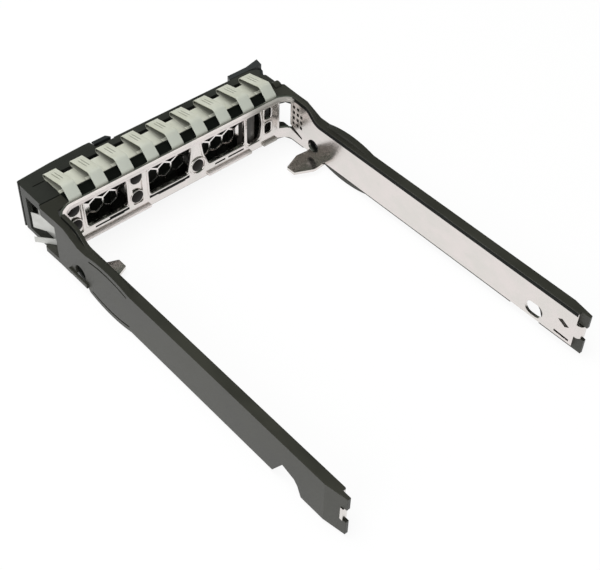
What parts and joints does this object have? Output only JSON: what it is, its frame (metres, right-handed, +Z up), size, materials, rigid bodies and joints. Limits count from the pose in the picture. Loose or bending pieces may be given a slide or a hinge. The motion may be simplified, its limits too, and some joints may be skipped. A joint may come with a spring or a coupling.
{
  "type": "hot swap drive caddy",
  "caption": "Open U-shaped drive tray: folded steel rails in black plastic runners, moulded bezel with grounding fingers, a swinging ejector lever and a release button.",
  "frame": {"origin": "middle of the caddy's footprint, on the surface that its runners stand on", "axes": "+X across the bay, towards the side away from the lever's hinge; +Y from the front face to the connector end; +Z up"},
  "size_m": [0.0789, 0.1188, 0.0185],
  "materials": {
    "tray_steel": "plain galvanised sheet, faint rolling lines",
    "screen_steel": "plain etched sheet",
    "contact_alloy": "tin plated spring sheet, satin, slightly green",
    "runner_plastic": "fine moulded grain, charcoal",
    "bezel_plastic": "fine moulded grain, charcoal",
    "face_plastic": "fine moulded grain, charcoal",
    "lever_plastic": "fine moulded grain, charcoal",
    "button_plastic": "satin moulded, charcoal",
    "pin_steel": "ground",
    "spring_steel": "drawn wire",
    "clear_plastic": "clear, polished ends"
  },
  "bodies": {
    "caddy": {"tray_frame": "tray_steel", "runner_right": "runner_plastic", "runner_left": "runner_plastic", "bezel_body": "bezel_plastic", "bezel_face": "face_plastic", "vent_screen": "screen_steel", "contact_strip_top": "contact_alloy", "contact_clip_side": "contact_alloy", "lever_pin": "pin_steel", "lever_spring": "spring_steel", "button_spring": "spring_steel", "light_guide_upper": "clear_plastic", "light_guide_lower": "clear_plastic"},
    "lever": {"ejector_lever": "lever_plastic"},
    "button": {"release_button": "button_plastic"}
  },
  "joints": [
    {"name": "lever_hinge", "type": "hinge", "parent": "caddy", "child": "lever", "pos_m": [-0.03483, -0.0519, 0.0084], "axis": [0, 0, -1], "range_deg": [0, 65], "deforming": ["lever_spring"]},
    {"name": "button_slide", "type": "slide", "parent": "caddy", "child": "button", "axis": [0, 1, 0], "range_m": [0, 0.001], "stiffness_N_per_m": 400, "deforming": ["button_spring"]}
  ]
}
